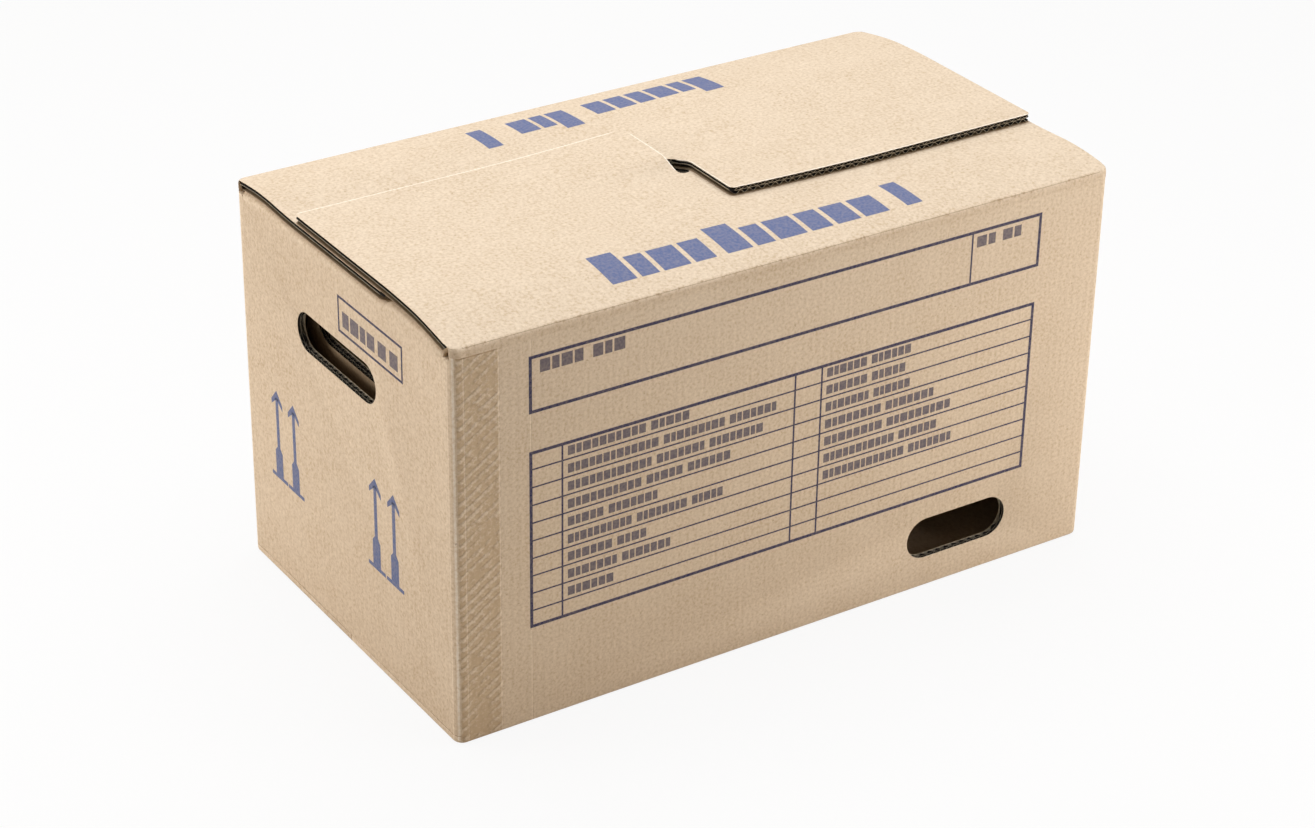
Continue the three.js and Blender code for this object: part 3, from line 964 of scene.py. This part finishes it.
# The form on the front wall, in millimetres from the middle and from the floor
NAME_BOX = {"x": (-226.0, 223.0), "z": (255.5, 300.5), "divider": 156.8}
TABLE = {"x": (-226.0, 222.0), "z": (80.5, 225.4), "rows": 10, "columns": (-199.8, -0.6, 23.2)}
SMALL_WORD = {"height": 7.4, "base": 3.0, "gap": 4.5}
LEFT_WORDS = {
    "start": -194.5,
    "ends": (-92.7, -16.4, -27.8, -56.1, -118.9, -61.9, -128.1, -107.1, -156.0),
    "letters": ((10, 5), (13, 9, 7), (12, 7, 8), (10, 5, 6), (5, 7), (10, 8, 5), (6, 4), (7, 7), (6,)),
}
RIGHT_WORDS = {
    "start": 28.5,
    "ends": (105.2, 100.8, 105.9, 129.1, 145.8, 133.6, 148.4),
    "letters": ((6, 6), (6, 5), (7, 6), (8, 7), (8, 9), (11, 6), (13, 7)),
}
# Start, end, letters, foot, height and gap of each line of words in the name box and on the label
HEADING_WORDS = ((-217.0, -147.7, (4, 3), 286.0, 10.0, 8.0), (161.8, 203.7, (2, 2), 286.2, 9.0, 7.0))
LABEL_WORDS = (-87.0, -5.0, (1, 1, 4), 270.6, 12.4, 5.0)


def form_lines():
    """Strokes of the name box and of the table."""
    x0, x1 = TABLE["x"]
    z0, z1 = TABLE["z"]
    row = (z1 - z0) / TABLE["rows"]
    strokes = frame_lines(*NAME_BOX["x"], *NAME_BOX["z"], FORM_RULE)
    strokes += frame_lines(x0, x1, z0, z1, FORM_RULE)
    name_low, name_high = NAME_BOX["z"]
    divider = NAME_BOX["divider"]
    low, high = name_low + FORM_RULE, name_high - FORM_RULE
    strokes.append(rectangle(divider, divider + MIDDLE_RULE, low, high))
    edges = [x0 + FORM_RULE, *TABLE["columns"], x1 - FORM_RULE]
    for column in TABLE["columns"]:
        strokes.append(rectangle(column, column + MIDDLE_RULE, z0 + FORM_RULE, z1 - FORM_RULE))
    for index in range(1, TABLE["rows"]):
        z = z1 - row * index - THIN_RULE / 2
        for left, right in zip(edges[:-1], edges[1:]):
            start = left if left == edges[0] else left + MIDDLE_RULE
            strokes.append(rectangle(start, right, z, z + THIN_RULE))
    return strokes


def form_words():
    """Blocks in place of the table's words."""
    z0, z1 = TABLE["z"]
    row = (z1 - z0) / TABLE["rows"]
    word = SMALL_WORD
    blocks = []
    for column in (LEFT_WORDS, RIGHT_WORDS):
        for index, (end, letters) in enumerate(zip(column["ends"], column["letters"])):
            base = z1 - row * (index + 1) + word["base"]
            blocks += words_line(column["start"], end, letters, base, word["height"], word["gap"])
    return blocks


def heading_words():
    """Blocks in place of the words in the name box."""
    return [block for words in HEADING_WORDS for block in words_line(*words)]


# The arrows and the label on the left end, in millimetres from the middle and from the floor
ARROW = {
    "stems": (109.6, 82.4, -46.4, -74.1), "tip": 165.5, "foot": 88.0, "wing": 9.0, "wing_drop": 10.0,
    "stroke": 4.5, "thin": 4.6, "thick": 11.5, "thick_top": 112.0, "shoulder": 4.0, "base": 13.0,
    "bar": 3.2,
}
LABEL = {"y": (-94.0, 1.8), "z": (264.3, 293.8), "rule": 2.0}


def arrow(centre):
    """An up arrow on a foot: a chevron head, a thin stem, a thick lower stem and a base bar."""
    a = ARROW
    tip, stroke, wing, drop = a["tip"], a["stroke"], a["wing"], a["wing_drop"]
    low = a["foot"] + a["bar"]
    half_thin = a["thin"] / 2
    half_thick = a["thick"] / 2
    top = a["thick_top"]
    left = [
        (centre, tip), (centre, tip - 1.6 * stroke),
        (centre - wing, tip - drop - stroke), (centre - wing, tip - drop),
    ]
    right = [(2 * centre - u, v) for u, v in left[::-1]]
    return [
        left, right,
        rectangle(centre - half_thin, centre + half_thin, top + a["shoulder"], tip - 1.5 * stroke),
        [(centre - half_thick, top), (centre + half_thick, top),
         (centre + half_thin, top + a["shoulder"]), (centre - half_thin, top + a["shoulder"])],
        rectangle(centre - half_thick, centre + half_thick, low, top),
        rectangle(centre - a["base"], centre + a["base"], a["foot"], low),
    ]


def wall_ink(name, quads, place, ink):
    """A piece of print on a wall, from quads in millimetres."""
    vertices, faces = patches(np.asarray(quads, float) * MM, place, INK, 2)
    piece = mesh_object(name, vertices, faces, bpy.data.materials[ink])
    finish_piece(piece, "carton", "kraft_body")


def on_front(u, v, height):
    """Front wall: u runs along X and v up."""
    return np.stack([u, np.full_like(u, -HALF_WIDTH + SKIN - INK_LIFT - height), v], axis=-1)


def on_left(u, v, height):
    """Left end wall: u runs along Y and v up."""
    return np.stack([np.full_like(u, -HALF_LENGTH + SKIN - INK_LIFT - height), u, v], axis=-1)


def on_flap(x, y, height):
    """The closed front flap's upper face, along X and Y."""
    return np.stack([x, y, CREASE_Z + flap_lift(x, y) + INK_LIFT + height], axis=-1)


class MOVINGBOX_OT_wall_print(bpy.types.Operator):
    """Print the form on the front and the frame and arrows on the left end"""

    bl_idname = "moving_box.wall_print"
    bl_label = "Print on the walls"

    def execute(self, context):
        arrows = [quad for stem in ARROW["stems"] for quad in arrow(stem)]
        label = frame_lines(*LABEL["y"], *LABEL["z"], LABEL["rule"])
        wall_ink("form_lines_print", form_lines(), on_front, "dark_form_ink")
        wall_ink("form_words_print", form_words(), on_front, "small_word_ink")
        wall_ink("form_heading_print", heading_words(), on_front, "small_word_ink")
        wall_ink("arrow_print", arrows, on_left, "blue_flexo_ink")
        wall_ink("label_frame_print", label, on_left, "dark_form_ink")
        wall_ink("label_blocks_print", words_line(*LABEL_WORDS), on_left, "small_word_ink")
        return {"FINISHED"}


# Big words of the flaps in millimetres: start, end, letters, seen with the crease below
FRONT_WORDS = ((-144.0, -56.5, 4), (-47.0, 96.0, 6), (112.0, 126.0, 1))
REAR_WORDS = ((-113.0, -1.6, 6), (16.0, 67.0, 3), (89.0, 102.0, 1))
BIG_WORD = {"base": -140.5, "height": 27.0, "tall": 37.0}


class MOVINGBOX_OT_flap_print(bpy.types.Operator):
    """Print the two big words of blocks on each flap"""

    bl_idname = "moving_box.flap_print"
    bl_label = "Print on the flaps"

    def execute(self, context):
        for (node, _, sign), words in zip(FLAPS, (FRONT_WORDS, REAR_WORDS)):
            blocks = []
            for word in words:
                blocks += word_blocks(*word, BIG_WORD["base"], BIG_WORD["height"], BIG_WORD["tall"])
            vertices, faces = patches(np.asarray(blocks) * MM, on_flap, INK, 7)
            vertices *= (sign, sign, 1.0)
            piece = mesh_object(f"{node}_print", vertices, faces, bpy.data.materials["blue_flexo_ink"])
            finish_piece(piece, node, "kraft_flap")
        return {"FINISHED"}


def backdrop_paint():
    """Matt white studio sweep. The camera sees it brighter than it lights, so it stays pale."""
    shine = {"Base Color": linear(colours().backdrop), "Roughness": 0.9, "Specular IOR Level": 0.0}
    tree, shader = matt_material("white_sweep_paint", shine)
    glow = add(tree, "ShaderNodeEmission", {"Color": (1.0, 1.0, 1.0, 1.0), "Strength": 1.0})
    rays = add(tree, "ShaderNodeLightPath")
    camera, glossy, through = (
        Field(rays.outputs[f"Is {kind} Ray"]) for kind in ("Camera", "Glossy", "Transmission")
    )
    share = camera.most(glossy).most(through) * 0.9
    mix = add(tree, "ShaderNodeMixShader", {0: share, 1: shader.outputs[0], 2: glow.outputs[0]})
    tree.links.new(mix.outputs[0], tree.nodes["Material Output"].inputs["Surface"])


# Each lamp's side and colour, its size, its place and the point it faces, in metres
LAMPS = (
    ("top", "lamp", 2.4, (0.1, 0.3, 2.6), (0.0, 0.0, 0.3)),
    ("left", "side_lamp", 1.0, (-1.6, 0.9, 0.5), (-0.3, 0.08, 0.1)),
    ("right", "side_lamp", 0.5, (0.9, -0.9, 0.25), (0.25, -0.16, 0.08)),
)
# The floor's straight run, the radius of its bend and the backdrop's top, in metres
FLOOR_RUN = 5.0
FLOOR_BEND = 2.0
BACKDROP_TOP = 6.0


def area_lamp(name, tint, power, size, place, target):
    """A soft square lamp that faces a target."""
    lamp = bpy.data.lights.new(name, "AREA")
    lamp.energy = power
    lamp.color = linear(tint)[:3]
    lamp.shape = "SQUARE"
    lamp.size = size
    holder = bpy.data.objects.new(name, lamp)
    holder.location = place
    holder.rotation_euler = (Vector(target) - Vector(place)).to_track_quat("-Z", "Y").to_euler()
    bpy.context.scene.collection.objects.link(holder)


class MOVINGBOX_OT_stage(bpy.types.Operator):
    """Make the floor, the light and the camera"""

    bl_idname = "moving_box.stage"
    bl_label = "Stage"

    def execute(self, context):
        self.make_sweep()
        self.make_light(context)
        self.make_camera(context)
        return {"FINISHED"}

    def make_sweep(self):
        """A floor that curves up behind: a straight run, a quarter circle and a straight wall,
        turned once round the box so that every view has the same ground."""
        turn = np.linspace(0, np.pi / 2, 13)
        bend = FLOOR_RUN + FLOOR_BEND * np.sin(turn)
        radius = np.concatenate([[0.0, 1.0, 3.0], bend, [FLOOR_RUN + FLOOR_BEND]])
        rising = FLOOR_BEND - FLOOR_BEND * np.cos(turn)
        height = np.concatenate([[0.0, 0.0, 0.0], rising, [BACKDROP_TOP]])
        around = np.linspace(0, 2 * np.pi, 65)[:-1]
        x = np.cos(around)[:, None] * radius
        y = np.sin(around)[:, None] * radius
        z = np.repeat(height[None, :], len(around), axis=0)
        faces = grid_faces(len(around), len(radius), closed=True)
        backdrop_paint()
        paint = bpy.data.materials["white_sweep_paint"]
        sweep = mesh_object("studio_sweep", np.stack([x, y, z], axis=-1), faces, paint)
        apply_modifiers(sweep)

    def make_light(self, context):
        s = context.scene.moving_box_stage
        c = colours()
        world = bpy.data.worlds.new("soft_room")
        world.use_nodes = True
        background = world.node_tree.nodes["Background"]
        background.inputs["Color"].default_value = linear(c.room)
        background.inputs["Strength"].default_value = s.ambient
        context.scene.world = world
        for side, tint, *where in LAMPS:
            area_lamp(f"{side}_softbox", getattr(c, tint), getattr(s, f"{side}_light"), *where)

    def make_camera(self, context):
        s = context.scene.moving_box_stage
        flat = math.cos(s.elevation)
        back = Vector((math.sin(s.azimuth) * flat, -math.cos(s.azimuth) * flat, math.sin(s.elevation)))
        data = bpy.data.cameras.new("camera")
        data.lens = s.lens
        data.sensor_width = 36.0
        data.clip_end = 50.0
        camera = bpy.data.objects.new("camera", data)
        camera.location = Vector(s.aim) + back * s.distance
        turn = (-back).to_track_quat("-Z", "Y").to_matrix().to_4x4()
        camera.rotation_euler = (turn @ Matrix.Rotation(s.roll, 4, "Z")).to_euler()
        context.scene.collection.objects.link(camera)
        context.scene.camera = camera
        context.scene.view_settings.view_transform = "Standard"


class MOVINGBOX_PT_panel(bpy.types.Panel):
    """Buttons for every part of the box"""

    bl_idname = "MOVINGBOX_PT_panel"
    bl_label = "Moving Box"
    bl_space_type = "VIEW_3D"
    bl_region_type = "UI"
    bl_category = "Moving Box"

    def draw(self, context):
        for operator in OPERATORS:
            self.layout.operator(operator.bl_idname)


OPERATORS = (
    MOVINGBOX_OT_stage,
    MOVINGBOX_OT_papers,
    MOVINGBOX_OT_carton,
    MOVINGBOX_OT_hole_flutes,
    MOVINGBOX_OT_flaps,
    MOVINGBOX_OT_creases,
    MOVINGBOX_OT_wall_print,
    MOVINGBOX_OT_flap_print,
)
GROUPS = {
    "moving_box_sizes": MovingBoxSizes,
    "moving_box_colours": MovingBoxColours,
    "moving_box_stage": MovingBoxStage,
}


def register():
    for cls in (*GROUPS.values(), *OPERATORS, MOVINGBOX_PT_panel):
        bpy.utils.register_class(cls)
    for name, group in GROUPS.items():
        setattr(bpy.types.Scene, name, PointerProperty(type=group))


def unregister():
    for name in GROUPS:
        delattr(bpy.types.Scene, name)
    for cls in (MOVINGBOX_PT_panel, *reversed(OPERATORS), *reversed(GROUPS.values())):
        bpy.utils.unregister_class(cls)


def main():
    register()
    for operator in OPERATORS:
        group, action = operator.bl_idname.split(".")
        getattr(getattr(bpy.ops, group), action)()


if __name__ == "__main__":
    main()
